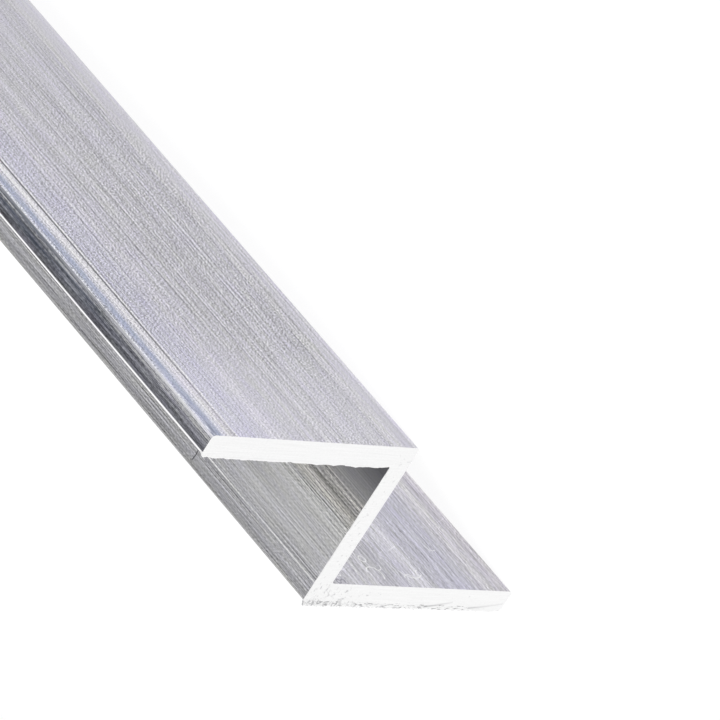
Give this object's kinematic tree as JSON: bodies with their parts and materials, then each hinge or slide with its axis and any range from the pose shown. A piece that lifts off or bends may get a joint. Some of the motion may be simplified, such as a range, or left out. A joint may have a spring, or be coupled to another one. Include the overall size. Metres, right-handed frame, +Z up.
{
  "type": "aluminium z-section extrusion bar",
  "caption": "Length of mill-finish aluminium Z-section: a web with a flange to each side, rounded outside corners and ends sawn square, used as edging, trim or a panel joint.",
  "frame": {"origin": "on the floor, under the middle of the web, half way along the bar", "axes": "+Y along the bar, +Z up; the bar lies rolled by 32.5 degrees, on the tip of its upper flange at -X and the heel of its lower flange at +X, as it comes to rest"},
  "size_m": [0.0588, 0.5, 0.0178],
  "materials": {
    "aluminium": "mill finish with die lines"
  },
  "bodies": {
    "root": {"z_profile": "aluminium"}
  },
  "joints": []
}
